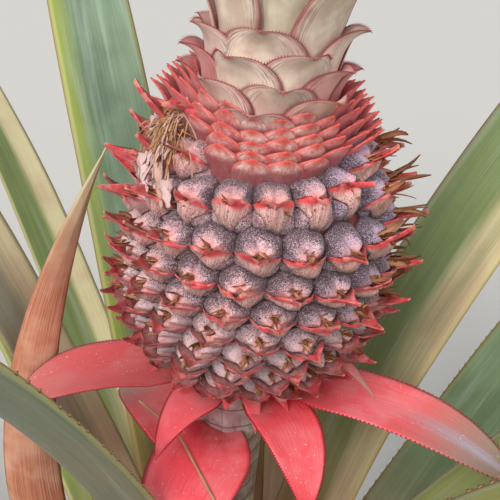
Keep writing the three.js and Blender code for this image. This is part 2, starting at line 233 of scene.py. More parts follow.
def skin(name, rings, finish, slot, replaced=(), **marks):
    """Lays closed tubes as one mesh. The rings are N tubes x rows x points round x 3. Quads join each
    row to the next, and a fan closes each end round the middle of its last row. A mark may also have
    one number for each tube, or one for all."""
    n, rows, around = rings.shape[:3]
    poles = rings[:, [0, -1]].mean(axis=2)
    points = np.concatenate([rings.reshape(n, -1, 3), poles], axis=1)
    row, k = np.meshgrid(np.arange(rows - 1) * around, np.arange(around), indexing="ij")
    after = (k + 1) % around
    quads = np.stack([row + k, row + after, row + around + after, row + around + k], -1).reshape(-1, 4)
    k, after = k[0], after[0]
    last = (rows - 1) * around
    foot = np.stack([after, k, np.full(around, rows * around)], -1)
    tip = np.stack([last + k, last + after, np.full(around, rows * around + 1)], -1)
    fans = np.concatenate([foot, tip])
    halves = np.concatenate([quads[:, :3], quads[:, [0, 2, 3]], fans])
    a, b, c = (points[0][halves[:, j]] - points[0].mean(axis=0) for j in range(3))
    if (a * np.cross(b, c)).sum() < 0:  # inside out
        quads, fans = quads[:, ::-1], fans[:, ::-1]
    offset = (np.arange(n) * points.shape[1])[:, None, None]
    spread = {}
    for mark, values in marks.items():
        if np.ndim(values) == 1:
            values = values[:, None, None]
        values = np.broadcast_to(values, rings.shape[:3])
        ends = values[:, [0, -1]].mean(axis=2)
        spread[mark] = np.concatenate([values.reshape(n, -1), ends], axis=1)
    quads, fans = (quads + offset).reshape(-1, 4), (fans + offset).reshape(-1, 3)
    return lay(name, points.reshape(-1, 3), quads, fans, finish, slot, replaced, **spread)


def ring_grid(levels, count):
    """The level of each point on a tube, and its turn in radians: levels by points round."""
    return np.meshgrid(levels, np.linspace(0, 2 * np.pi, count, endpoint=False), indexing="ij")


def polar(radius, turn, height):
    """Points at a radius, a turn in radians and a height."""
    return np.stack([radius * np.cos(turn), radius * np.sin(turn), height + 0 * turn], -1)


bark = Finish("stem_bark", 0.9)
fibre, patch = bark.noise(160, 6), bark.noise(40)
bark.paint((fibre, 0.35, 0.65), "4a3a26", "a08a63").wash((patch, 0.5, 0.7), "6d5a3c").emboss(fibre, 1.2)

height, turn = ring_grid(np.linspace(0, STEM_HEIGHT, STEM_RINGS), STEM_ROUND)
scar = np.sin(2 * np.pi * height / SCAR_STEP + 2 * turn)
radius = np.interp(height, *STEM_OUTLINE) - SCAR_DEPTH * (1 - scar) / 2
skin("stem_club", polar(radius, turn, height)[None], bark, "stem_bark", ["stem"])


# Leaves: long tough straps, each a gutter that clasps the stem at its foot and arches over to a sharp
# tip. They are grey-green under a pale waxy bloom, with fine lengthwise veins and toothed margins.
GOLDEN_TURN = 137.508
FIRST_TURN = 20
LEAF_COUNT = 26
LEAF_LENGTH = 560, 300  # of the shortest, and what the longest has more
LEAF_WIDTH = 52
LEAF_THICK = 4.2, 1.6  # foot, tip
LEAF_HEIGHT = 24, 7  # of the first one's foot, and from each to the next
LEAF_ROOT = 27  # from the stem's axis
LEAF_CLASP = 37  # radius of what the feet clasp
LEAF_ROWS = 129
LEAF_ACROSS = 14
TOOTH_STEP = 7.5
STRAYS = {  # leaves that have grown apart from the rule, and what is different about each
    11: dict(turn=84, width=50),
    13: dict(turn=8, rise=(58, 12)),
    14: dict(turn=121, rise=(55, 4), swing=14, width=36, roll=24),
    16: dict(turn=79, rise=(58, 0), width=46),
    17: dict(turn=219),
    18: dict(turn=332, rise=(76, 10), swing=-4),
    19: dict(turn=112, rise=(66, 20), swing=-4, width=50),
    20: dict(turn=243, rise=(72, 4), swing=-12),
    21: dict(turn=25, rise=(79, -3), swing=-7, roll=6),
    22: dict(turn=158, rise=(76.5, 25), width=34),
    23: dict(turn=308, rise=(77.5, -14), swing=1, width=40),
    24: dict(turn=86, rise=(87, 10), ease=0.8, width=38),
    25: dict(turn=227, rise=(87, -17), swing=2, width=42, roll=28),
}
# How worn, how yellow-green and how cream some leaves are, which of them are yellow-green at one margin
# only, and which have spines.
LEAF_AGE = {0: 0.9, 1: 0.9, 2: 0.85, 3: 0.8, 12: 0.6, 14: 0.3, 17: 0.7, 20: 0.55, 21: 0, 22: 0.9, 25: 0.75}
LEAF_LIME = {6: 0.6, 13: 0.75, 14: 0.55, 18: 0.9, 19: 0, 21: 0.4, 23: 0.85}
LEAF_CREAM = {6: 0.7, 14: 0.9, 21: 0.6, 22: 0.7}
LIME_MARGIN = {13: 0.6, 19: 0.9, 20: 0.5}
SPINY = 2, 5, 8, 11, 16, 23, 25


def mix(a, b, t):
    """The value a share t of the way from a to b."""
    return a + (b - a) * t


def pointed(s, start, bluntness, least=0.02):
    """Full width up to the start, then margins that meet at a point: straight at a bluntness of one,
    and the rounder the more it is."""
    return np.maximum(least, 1 - (np.maximum(0, s - start) / (1 - start)) ** bluntness)


def strap(s):
    """Full width to two fifths of the length, then a rounded taper to a point."""
    return pointed(s, 0.4, 1.8, 0.03)


def unit(ways):
    """The same ways, each of length one."""
    return ways / (np.linalg.norm(ways, axis=-1, keepdims=True) + 1e-9)


def both_faces(across):
    """Places round a blade, -1 to 1 over its upper face and back under it, and which face each is on:
    1 for the upper, -1 for the lower and 0 at the margins."""
    u = np.concatenate([np.linspace(-1, 1, across + 1), np.linspace(1, -1, across + 1)[1:-1]])
    face = np.concatenate([np.ones(across + 1), -np.ones(across - 1)])
    face[[0, across]] = 0
    return u, face


def blades(
    turn, height, radius, length, width, rise, clasp, thick, outline,
    swing=0, roll=0, ease=1, gutter=0.35, opens=3.5, rows=97, across=12, swell=None,
):
    """Thin blades that leave an axis. The midline starts at the turn, radius and height; as s runs 0
    to 1 along it, its heading goes round by swing and its slope from rise[0] to rise[1] as s**ease.
    Across it the blade is an arc that clasps the axis at the foot and opens out to the gutter's bend:
    sideways half*sin(bend)/bend, upwards half*(1 - cos(bend))/bend, where half is half the width
    times the outline. It is thick in the middle and thin at the margins. Returns the rings and marks."""
    turn, height, radius, length, width, clasp, swing, roll, ease, *slope = (
        np.atleast_1d(np.asarray(v, float))[:, None]
        for v in (turn, height, radius, length, width, clasp, swing, roll, ease, *rise)
    )
    s = np.linspace(0, 1, rows)[None]
    heading = np.radians(turn + swing * s)
    climb = np.radians(mix(slope[0], slope[1], s**ease))
    flat = np.zeros_like(climb)
    level = np.cos(climb)
    ahead = np.stack([level * np.cos(heading), level * np.sin(heading), np.sin(climb)], -1)
    side = np.stack([np.sin(heading) + flat, -np.cos(heading) + flat, flat], -1)
    tip_over = np.radians(roll * np.minimum(1, 2 * s))[..., None]
    side = side * np.cos(tip_over) + np.cross(ahead, side) * np.sin(tip_over)
    up = np.cross(side, ahead)
    start = polar(radius, np.radians(turn), height)
    walked = np.cumsum(ahead, axis=1) - ahead
    line = start + walked * (length / (rows - 1))[..., None]
    half = width / 2 * outline(s)
    bend = mix(half / clasp, gutter, np.minimum(1, opens * s))[..., None]
    half = half[..., None]
    u, face = both_faces(across)
    depth = mix(thick[0], thick[1], s)[..., None] / 2 * (1 - 0.75 * np.abs(u) ** 3) * face
    out = half * np.sin(u * bend) / bend - depth * np.sin(u * bend)
    lift = half * (1 - np.cos(u * bend)) / bend + depth * np.cos(u * bend)
    if swell is not None:
        lift = lift + swell(s[..., None], u)
    rings = line[:, :, None] + side[:, :, None] * out[..., None] + up[:, :, None] * lift[..., None]
    marks = dict(across=u + 0 * out, along=s[..., None] + 0 * out, top=(face > 0) + 0 * out)
    return rings, marks


def thorns(feet, ways, length, girth, name, finish, slot):
    """Lays sharp points as one mesh of closed three-sided spikes. Each stands on its foot, as wide as
    its girth, and ends its length away from it."""
    ways = unit(ways)
    guide = np.where(np.abs(ways[:, 2:]) < 0.8, [[0, 0, 1.0]], [[1.0, 0, 0]])
    side = unit(np.cross(ways, guide))
    over = np.cross(ways, side)
    length, girth = (np.broadcast_to(v, len(feet))[:, None] for v in (length, girth))
    corners = [feet + girth / 2 * (np.cos(a) * side + np.sin(a) * over) for a in np.radians([90, 210, 330])]
    points = np.stack([*corners, feet + ways * length], axis=1)
    a, b, c, d = points[0]
    faces = np.array([[0, 2, 1], [0, 1, 3], [1, 2, 3], [2, 0, 3]])
    if np.dot(d - a, np.cross(b - a, c - a)) < 0:  # inside out
        faces = faces[:, ::-1]
    faces = (faces + (np.arange(len(feet)) * 4)[:, None, None]).reshape(-1, 3)
    quads = np.zeros((0, 4), int)
    along = np.tile([0, 0, 0, 1.0], len(feet))
    return lay(name, points.reshape(-1, 3), quads, faces, finish, slot, along=along)


def tooth_spots(rings, at, sunk=0.2, out_by=0.9):
    """Feet of the teeth on both margins of blades, at some of their rows and a little sunk, and the
    ways that they point: outwards and on to the tip."""
    across = rings.shape[2] // 2
    spots = []
    for edge in (rings[:, :, 0], rings[:, :, across]):
        out, on = unit(edge - rings[:, :, across // 2]), unit(np.gradient(edge, axis=1))
        spots.append([(edge - out * sunk)[:, at], (out * out_by + on)[:, at]])
    return [np.concatenate(kind).reshape(-1, 3) for kind in zip(*spots)]


coat = Finish("leaf_green", 0.5, sheen=0.1)
across, along, top, age, lime, cream = coat.marks("across along top age lime cream")
vein, streak = coat.grain(26, 5, 1.6, 4), coat.grain(3, 6, 1.3, 3)
cloud = coat.noise(22, 4)
coat.paint((cloud, 0.35, 0.7), "4f6648", "6f8769").wash(lime, "94a23c")
worn = coat.sum("ADD", age, coat.times(streak, 0.9, -0.5))
coat.wash((worn, 0.25, 0.95), coat.blend((cloud, 0.4, 0.65), "b59a78", "9a8f78"))
bloom = coat.times(coat.times(top, -0.3, 0.5), coat.times(lime, -0.9, 1.0))
coat.wash(bloom, "6a7d72")
# Lighter and darker lengthwise bands. The lighter ones are partly the leaf's own silvery stripes and partly
# painted reflection along the leaf.
coat.wash((streak, 0.5, 0.7), "a6b6aa", 0.33).wash((streak, 0.47, 0.3), "4c6650", 0.35)
creamy = coat.times(streak, 0.5, coat.sum("SUBTRACT", cream, 0.25))
coat.wash((creamy, 0.2, 0.8), coat.blend((cloud, 0.4, 0.65), "dcd0a4", "cdb392"))
edge = coat.sum("ABSOLUTE", across)
coat.wash((edge, 0.84, 0.98), "b8b070", 0.7).wash((edge, 0.955, 0.995), "8f5236", 0.5)
coat.wash((along, 0.26, 0.02), "b8685a", 0.75).wash((along, 0.93, 0.99), "8a6a46")
shade = coat.times((vein, 0.3, 0.7), 0.3, 0.35)
coat.wash(0.3, shade, how="OVERLAY").emboss(vein, 0.25)

tooth_horn = Finish("leaf_tooth", 0.5)
tooth_horn.paint(tooth_horn.mark("along"), "a8855c", "7a5236")

rng = np.random.default_rng(7)
spots = []
for i in range(LEAF_COUNT):
    f = i / (LEAF_COUNT - 1)
    shape = dict(
        turn=FIRST_TURN + i * GOLDEN_TURN,
        width=LEAF_WIDTH * mix(0.92, 1, np.sin(np.pi * f)),
        rise=(mix(22, 82, f), mix(-30, 30, f)),
        ease=1.3,
    )
    shape.update(STRAYS.get(i, {}))
    length = LEAF_LENGTH[0] + LEAF_LENGTH[1] * np.sin(np.pi * min(1, 0.15 + f * 0.75))
    phase = rng.uniform(0, 6.28)
    rings, marks = blades(
        height=LEAF_HEIGHT[0] + LEAF_HEIGHT[1] * i, radius=LEAF_ROOT, length=length, clasp=LEAF_CLASP,
        thick=LEAF_THICK, outline=strap, rows=LEAF_ROWS, across=LEAF_ACROSS,
        swell=lambda s, u: 1.2 * np.abs(u) ** 3 * np.sin(26 * s + phase + u) * np.minimum(1, 4 * s) * (1 - s),
        **shape,
    )
    u = marks["across"]
    skin(
        f"leaf_{i + 1:02d}_blade", rings, coat, "leaf_green", [f"leaf_{i + 1:02d}"],
        age=LEAF_AGE.get(i, 0.35 * (1 - f)),
        lime=LEAF_LIME.get(i, 0.2) + LIME_MARGIN.get(i, 0) / (1 + np.exp(14 * (u + 0.62))),
        cream=LEAF_CREAM.get(i, 0) / (1 + np.exp(-8 * (u - 0.1))),
        lot=i, **marks,
    )
    if i in SPINY:
        at = np.round(np.linspace(0.1, 0.97, int(length / TOOTH_STEP)) * (LEAF_ROWS - 1)).astype(int)
        spots.append(tooth_spots(rings, at, sunk=0.4, out_by=0.7))
feet, ways = (np.concatenate(kind) for kind in zip(*spots))
thorns(feet, ways, 2.2, 1.7, "leaf_teeth", tooth_horn, "leaf_green")


# Dry leaf: one old outer leaf, dead and papery. It has curled to a narrow trough, turned on its side
# and risen beside the fruit, and it has gone brown with a bleached tip.
coat = Finish("leaf_dry", 0.75)
vein = coat.grain(14, 5, 1.6, 5)
coat.paint((vein, 0.3, 0.7), "a8624a", "cf8a6a").wash((coat.noise(60, 4), 0.4, 0.7), "d49c82")
coat.wash((coat.mark("along"), 0.84, 0.99), "dccfa8").emboss(vein, 0.5)
rings, marks = blades(
    turn=172, height=122, radius=LEAF_ROOT, length=370, width=30, swing=48, roll=70, rise=(53, 126),
    clasp=LEAF_CLASP, thick=(2.2, 1.0), outline=strap, gutter=0.6, across=14,
    swell=lambda s, u: 0.9 * np.sin(17 * s + 2.5 * u) * np.abs(u) * np.minimum(1, 3 * s),
)
skin("dry_leaf_blade", rings, coat, "leaf_dry", ["dry_leaf"], lot=0, **marks)


# Stalk: a thick fleshy stem that carries the fruit. It is pale mauve under a white bloom, ribbed
# lengthwise, and hidden for most of its height by bracts.
FRUIT_LEAN = np.radians(5.8)
STALK_FOOT = 225.3
STALK_HEAD = -45.3  # from the middle of the fruit
STALK_RADII = 12, 14
STALK_RINGS = 90
STALK_ROUND = 48
STALK_SCAR_STEP = 0.009  # metres, from one ring to the next


def lean(points):
    """Points given in the fruit's own upright frame, turned to its lean and put in their place."""
    x, y, z = np.moveaxis(points, -1, 0)
    c, s = np.cos(FRUIT_LEAN), np.sin(FRUIT_LEAN)
    return np.stack([x * c + z * s, y, z * c - x * s], -1) + FRUIT_CENTRE


coat = Finish("stalk_skin", 0.6, soft=0.15)
drawn_out = coat.node("ShaderNodeMapping", {"Vector": coat.body(), "Scale": (1, 1, 0.12)})
rib, cloud = coat.noise(420, 4, place=drawn_out.outputs[0]), coat.noise(90, 4)
coat.paint((cloud, 0.35, 0.65), "b59a9e", "e6d8da").wash((rib, 0.5, 0.75), "93696c")
height = coat.node("ShaderNodeSeparateXYZ", {0: coat.body()}).outputs[2]
scar = coat.times(coat.times(cloud, 0.004, height), 1 / STALK_SCAR_STEP)
coat.wash((coat.sum("FRACT", scar), 0.86, 0.94), "6e4a4e", 0.7).emboss(rib, 0.4)

head = lean(np.array([0.0, 0.0, STALK_HEAD]))
t, turn = ring_grid(np.linspace(0, 1, STALK_RINGS), STALK_ROUND)
radius = mix(*STALK_RADII, t) * (1 + 0.02 * np.cos(9 * turn + 3 * t))
x, y = radius * np.cos(turn), radius * np.sin(turn)
across_lean = head[0] * t * t + x * np.cos(t * FRUIT_LEAN)
height = mix(STALK_FOOT, head[2], t) - x * np.sin(t * FRUIT_LEAN)
skin("stalk_column", np.stack([across_lean, y, height], -1)[None], coat, "stalk_skin", ["stalk"])


# Bracts of the stalk: leathery red tongues under the fruit, spread or hanging, some of them broad and
# long. They fade to grey-green at their tips, carry a pale sheen and have finely toothed margins.
BRACT_ROOT = 11  # from the stalk's axis
BRACT_THICK = 2.0, 0.9  # foot, tip
# Turn, height from the middle of the fruit, length, width, rise at the foot and at the tip, swing,
# bluntness, greyness and painted shade, a darker red for a bract that faces away from the light.
BRACTS = [
    [177, -60, 80, 30, 8, -38, 18, 4.5, 0.25, 0.55],
    [334, -57, 104, 29, 22, -22, -10, 3.4, 1.0, 0.0],
    [40, -57, 66, 22, 24, -40, 0, 2.2, 0.6, 0.0],
    [110, -57, 70, 22, 24, -40, 0, 2.2, 0.6, 0.0],
    [232, -60, 42, 19, 28, -70, 8, 1.2, 0.0, 0.0],
    [305, -60, 60, 25, 26, -60, -28, 1.9, 0.0, 0.0],
    [6, -62, 44, 18, 20, -40, 0, 2.2, 0.3, 0.0],
    [75, -62, 50, 20, 20, -45, 0, 2.2, 0.3, 0.0],
    [132, -62, 46, 20, 20, -40, 0, 2.2, 0.3, 0.0],
    [253, -78, 60, 37, 10, -74, -20, 2.4, 0.0, 0.0],
    [50, -100, 50, 30, 25, -50, 0, 2.2, 0.6, 0.0],
    [135, -120, 70, 34, 30, -40, 0, 2.2, 0.8, 0.0],
]
SMALL_BRACTS = [
    [262, -52, 14, 8, 10, -62, 0, 1.5, 0.0, 0.0],
    [284, -51, 25, 8, 15, -66, 0, 1.5, 0.0, 0.0],
    [322, -22, 50, 8, 4, -38, 0, 1.5, 0.7, 0.0],
    [205, -46, 26, 9, 16, -30, 0, 1.4, 0.0, 0.0],
    [222, -48, 20, 8, 15, -50, 0, 1.4, 0.0, 0.0],
    [190, -46, 30, 10, 20, -20, 0, 1.4, 0.1, 0.0],
    [350, -46, 28, 9, 20, -12, 0, 1.4, 0.2, 0.0],
    [338, -48, 30, 10, 24, -10, -6, 1.4, 0.2, 0.0],
    [308, -50, 22, 8, 15, -40, 0, 1.4, 0.0, 0.0],
    [150, -50, 26, 10, 20, -30, 0, 1.5, 0.1, 0.0],
    [120, -48, 26, 10, 20, -20, 0, 1.5, 0.1, 0.0],
    [90, -50, 26, 10, 20, -30, 0, 1.5, 0.1, 0.0],
    [55, -48, 26, 10, 20, -20, 0, 1.5, 0.1, 0.0],
    [20, -50, 24, 10, 20, -30, 0, 1.5, 0.1, 0.0],
]


def tongue(s, bluntness):
    """Narrow at the foot, full by a third of the length, then a taper to a point."""
    opening = mix(0.45, 1, np.sin(np.pi / 0.7 * np.minimum(s, 0.35)))
    return opening * pointed(s, 0.35, bluntness, 0.04)


def numbered(name, count):
    """A name with 01, 02 and so on after it."""
    return [f"{name}_{k + 1:02d}" for k in range(count)]


def skin_each(name, rings, finish, slot, replaced, marks):
    """Lays each tube as a piece of its own, the first ones in place of the replaced nodes."""
    for k, piece in enumerate(numbered(name, len(rings))):
        one = {mark: values[k : k + 1] for mark, values in marks.items()}
        skin(piece, rings[k : k + 1], finish, slot, replaced[k : k + 1], **one)


def tongues(rows, name, replaced=()):
    """Lays the bracts of one table, each as a piece of its own."""
    turn, height, length, width, foot, tip, swing, bluntness, grey, deep = np.array(rows, float).T
    rings, marks = blades(
        turn, height, BRACT_ROOT, length, width, (foot, tip), np.maximum(15, width / 2.4), BRACT_THICK,
        lambda s: tongue(s, bluntness[:, None]),
        swing=swing, ease=1.4, gutter=0.3, rows=65, across=16,
    )
    marks.update(grey=grey, deep=deep, lot=np.arange(len(rows)) * 1.7)
    rings = lean(rings)
    skin_each(name, rings, bract_skin, "bract_red", replaced, marks)
    return rings


bract_skin = Finish("bract_red", 0.42, sheen=0.15, soft=0.1)
across, along, grey = bract_skin.marks("across along grey")
vein = bract_skin.grain(22, 3, 1.5, 4)
cloud, speck = bract_skin.noise(70, 4), bract_skin.noise(900, 2)
bract_skin.paint((along, 0.0, 0.35), "b8202c", "ff5260").wash((cloud, 0.4, 0.7), "ff9aa0", 0.5)
greying = bract_skin.times(grey, (along, 0.45, 0.9))
# The table's last column darkens a bract to brick red. This is painted shade, for a bract that faces away
# from the light.
bract_skin.wash(bract_skin.mark("deep"), "a64640").wash(greying, "9a887c")
fold = bract_skin.times(greying, (bract_skin.sum("ABSOLUTE", across), 0.45, 0.0))
bract_skin.wash(bract_skin.times(fold, (grey, 0.85, 1.0)), "b3a9bc")
bract_skin.wash((vein, 0.45, 0.75), "c03040", 0.35).wash((speck, 0.68, 0.72), "f6d8d2", 0.6)
bract_skin.emboss(vein, 0.25)

long_bracts = tongues(BRACTS, "bract_tongue", numbered("bract", len(BRACTS)))
tongues(SMALL_BRACTS, "small_bract")
bract_tooth = Finish("bract_tooth", 0.5)
bract_tooth.paint(bract_tooth.mark("along"), "d8303c", "8a1420")
spots = tooth_spots(long_bracts, slice(12, 62), sunk=0.3, out_by=0.8)
thorns(*spots, 1.1, 0.8, "bract_teeth", bract_tooth, "bract_red")


# Fruit: berries fused into one body on three sets of spirals. Each is a fleshy dome of three sepals
# over a juicy ovary, speckled with short dark hairs, in a cell that it shares out with its neighbours.
FLESH_RADIUS = 42.7
FLESH_ABOVE = 49, 2.6  # half height and roundness of the upper half
FLESH_BELOW = 46, 2.25  # and of the lower
FLESH_ENDS = -45, 40
FLESH_SUNK = 0.6  # of the smooth flesh, under the berries' feet
CROWN_FOOT = [36, 54], [33.4, 24]  # heights, radii
FRONT = 268  # the turn that faces the camera
LEFT_SHOULDER = 188, 42  # falls away: the turn it faces, and how far round it reaches
RIGHT_CHEEK = 355, 45  # is fuller
TOP_IN_FRONT = 43.5  # of the berries, which climb higher at both sides of the collar
CLIMB_AT_LEFT = 9.5, 205, 30  # by how much, the turn, and how far round
CLIMB_AT_RIGHT = 2.5, 330, 45
BERRY_TURN = 137.38  # from one berry to the next, in degrees
BERRY_START = 213.1
BERRY_PHASE = -0.28
BERRY_SINK = 1.5
BERRY_SIZE = 12.3  # across, at mid height
BERRY_GROWTH = 0.28  # larger by this share at the shoulder, and smaller at the foot
GROWTH_REACH = 45  # from the middle to either
BERRY_TILT = 18.6, 215.5  # the spirals stand higher by this much on the side that faces this turn
BERRY_AREA = 0.9  # of a cell, over its width squared
GAPS_AT_MOST = 24
GAP_ROOM = 0.8  # of a berry, from its middle to the next
BORDER_ANGLES = 72
BORDER_SHARPNESS = 14
BORDER_AT_MOST = 60  # where there is no neighbour
BLOOM_SIDE = 340, 42  # the berries that keep a lavender bloom: the turn, and how far round
ASH_SIDE = 190, 35  # those that are pale and grey, as all are near the foot


def flesh_radius(z):
    """Radius of the flesh at a height: a barrel between an ellipse and a cylinder. It narrows sooner
    towards the foot, and runs into the cone under the crown at its top."""
    half, roundness = (np.where(z > 0, a, b) for a, b in zip(FLESH_ABOVE, FLESH_BELOW))
    share = np.minimum(0.999, np.abs(z) / half) ** roundness
    barrel = FLESH_RADIUS * (1 - share) ** (1 / roundness)
    return np.where(z > 30, np.maximum(barrel, np.interp(z, *CROWN_FOOT)), barrel)


def off_turn(turn, towards):
    """Degrees from one turn to another, between -180 and 180."""
    return (turn - towards + 180) % 360 - 180


def ease_in(value, low, high):
    """0 below low, 1 above high and smooth between."""
    t = np.clip((value - low) / (high - low), 0, 1)
    return t * t * (3 - 2 * t)


def side_share(turn, towards, spread):
    """1 on the side that faces one turn, and a bell curve round it."""
    return np.exp(-((off_turn(turn, towards) / spread) ** 2))


def girth(turn, z):
    """Share of the radius at a turn and a height: the left shoulder falls away, the right is fuller."""
    fall = 0.03 + 0.1 * ease_in(z, -12, 28)
    return 1 - fall * side_share(turn, *LEFT_SHOULDER) + 0.03 * side_share(turn, *RIGHT_CHEEK)


def berry_top(turn):
    """Height at which the berries end and the collar begins."""
    sides = CLIMB_AT_LEFT, CLIMB_AT_RIGHT
    return TOP_IN_FRONT + sum(climb * side_share(turn, *side) for climb, *side in sides)


def size_at(z):
    """Width of a berry at a height."""
    return BERRY_SIZE * (1 + BERRY_GROWTH * z / GROWTH_REACH)


def spiral_spots():
    """Heights and turns of the berries. The count up to a height is the area below it over the area
    of one cell, and each berry is one turn on from the last."""
    z = np.linspace(-75, 75, 3001)
    size = size_at(np.clip(z, -GROWTH_REACH, GROWTH_REACH))
    crowding = 2 * np.pi * flesh_radius(np.clip(z, -46, 54)) / (BERRY_AREA * size**2)
    count = np.cumsum(crowding) * (z[1] - z[0])
    count -= np.interp(0, z, count)
    k = np.arange(int(count[0]), int(count[-1]))
    turn = BERRY_START + k * BERRY_TURN
    tilt, towards = BERRY_TILT
    height = np.interp(k + BERRY_PHASE, count, z) - BERRY_SINK + tilt * np.cos(np.radians(turn - towards))
    keep = (height > FLESH_ENDS[0] + 4) & (height < berry_top(turn))
    return turn[keep], height[keep]


def fill_gaps(turn, height):
    """Adds a berry wherever the tilted spirals leave room for one more."""
    free_turn, free_height = np.meshgrid(np.arange(0, 360, 3.0), np.arange(-40, 52, 1.5))
    free = free_height < berry_top(free_turn) - 1
    free_turn, free_height = free_turn[free], free_height[free]
    for _ in range(GAPS_AT_MOST):
        a, b = np.radians(free_turn), np.radians(turn)
        near, far = flesh_radius(free_height)[:, None], flesh_radius(height)
        level = near**2 + far**2 - 2 * near * far * np.cos(a[:, None] - b)
        room = np.sqrt(level + (free_height[:, None] - height) ** 2).min(axis=1) / size_at(free_height)
        widest = room.argmax()
        if room[widest] < GAP_ROOM:
            break
        turn, height = np.append(turn, free_turn[widest]), np.append(height, free_height[widest])
    return turn, height


berry_turn, berry_height = fill_gaps(*spiral_spots())
BERRIES = len(berry_turn)
berry_size = size_at(berry_height)
away = polar(1, np.radians(berry_turn), 0)
berry_side = np.stack([-away[:, 1], away[:, 0], 0 * berry_turn], -1)
slope = flesh_radius(berry_height + 0.5) - flesh_radius(berry_height - 0.5)
berry_up = unit(away * slope[:, None] + [0, 0, 1])
berry_out = np.cross(berry_side, berry_up)
berry_radius = flesh_radius(berry_height) * girth(berry_turn, berry_height)
berry_base = away * berry_radius[:, None] + berry_height[:, None] * [0, 0, 1]
berry_askew = np.random.default_rng(17).uniform(-0.3, 0.3, BERRIES)


def borders():
    """How far each berry reaches over the flesh in each direction. It shares the way to its neighbours
    out with them, half and half, but is never wider than a share of its own size. The topmost in front
    are lower, and no upper half bulges past an ellipse through its sides and its top."""
    apart = berry_base[None] - berry_base[:, None]
    distance = np.linalg.norm(apart, axis=-1)
    flat = np.stack([(apart * berry_side[:, None]).sum(-1), (apart * berry_up[:, None]).sum(-1)], -1)
    flat *= (distance / np.maximum(1e-6, np.linalg.norm(flat, axis=-1)))[..., None]
    angle = np.arange(BORDER_ANGLES) * 2 * np.pi / BORDER_ANGLES
    towards = flat @ np.stack([np.cos(angle), np.sin(angle)])
    reach = distance[..., None] ** 2 / 2 / np.maximum(1e-3, towards)
    reach = np.where(towards > 1e-3, np.minimum(reach, BORDER_AT_MOST), BORDER_AT_MOST)
    border = (reach**-BORDER_SHARPNESS).sum(axis=1) ** (-1 / BORDER_SHARPNESS)
    topmost = (ease_in(berry_height, 26, 38) * side_share(berry_turn, FRONT, 30))[:, None]
    widest = 0.62 - 0.15 * topmost * np.maximum(0, np.sin(angle))
    border = np.minimum(border, widest * berry_size[:, None])
    quarter = BORDER_ANGLES // 4
    half_width = (border[:, :1] + border[:, 2 * quarter : 2 * quarter + 1]) / 2
    top = border[:, quarter : quarter + 1]
    round_top = 1.12 / np.hypot(np.cos(angle) / half_width, np.sin(angle) / top)
    return 1.05 * np.where(np.sin(angle) > 0, np.minimum(border, round_top), border)


border = borders()
bulge = 1 / flesh_radius(berry_height), np.abs(slope) * 0.02 + 0.012  # bend of the flesh, sideways and up


def of_berry(values, like):
    """One value of each berry, shaped to go with an array of its points."""
    return values.reshape(-1, *[1] * (like.ndim - 1))


def border_at(x, y):
    """Distance from a berry's middle to its border, in the direction of x sideways and y up."""
    place = (np.arctan2(y, x) / (2 * np.pi) % 1) * BORDER_ANGLES
    low = place.astype(int) % BORDER_ANGLES
    own = of_berry(np.arange(BERRIES), x)
    return mix(border[own, low], border[own, (low + 1) % BORDER_ANGLES], place % 1)


def in_cell(share, angle):
    """Places in the berries' cells, x sideways and y up, at a share of the way out to the border."""
    x, y = np.cos(angle), np.sin(angle)
    far = border_at(x, y) * share
    return x * far, y * far


def cushion(x, y):
    """Height of a berry over the flesh: a low cone of three keeled sepals, two above and one below,
    with a furrow between each two, their tips round a sunken middle, and steep at its border. Each
    berry's sepals sit a little askew, and it leans a little to one side."""
    rim = np.minimum(1, np.hypot(x, y) / border_at(x, y))
    seam = np.abs(np.cos(1.5 * (np.arctan2(y, x) - np.pi / 2 + of_berry(berry_askew, x))))
    cone = 0.34 * (1 - rim**2.4) ** 0.75
    lobes = 0.42 * (1 - seam) * rim * (1 - rim**2)
    furrow = 0.11 * seam**9 * ease_in(rim, 0.1, 0.35) * (1 - rim**5)
    tips = 0.045 * np.exp(-(((rim - 0.24) / 0.08) ** 2)) - 0.09 * np.exp(-((rim / 0.14) ** 2))
    lean_over = of_berry(berry_askew, x) * x / of_berry(berry_size, x) * (1 - rim**2) * 0.5
    return of_berry(berry_size, x) * (cone + lobes - furrow + tips + lean_over)


def on_fruit(x, y, h):
    """World points from each berry's own x sideways, y up and h outwards; the flesh curves away."""
    fall = x**2 / 2 * of_berry(bulge[0], x) + y**2 / 2 * of_berry(bulge[1], x)
    shape = (-1, *[1] * (x.ndim - 1), 3)
    base, side, up, out = (v.reshape(shape) for v in (berry_base, berry_side, berry_up, berry_out))
    return lean(base + side * x[..., None] + up * y[..., None] + out * (h - fall)[..., None])


coat = Finish("berry_skin", 0.5, sheen=0.2, soft=0.1)
rim, rise, lot, bloom, ash = coat.marks("rim rise lot bloom ash")
speck, frost_and_highlight = coat.noise(2900, 2, 0.65), coat.noise(3600, 2, 0.6)
cloud, patch = coat.noise(300), coat.noise(620, 3, 0.6)
plain = coat.sum("SUBTRACT", 1.0, coat.sum("MAXIMUM", bloom, ash))
coat.paint((cloud, 0.35, 0.65), "a97f8d", "dcb4bb").wash((lot, 0.3, 1.0), "cf9c9c")
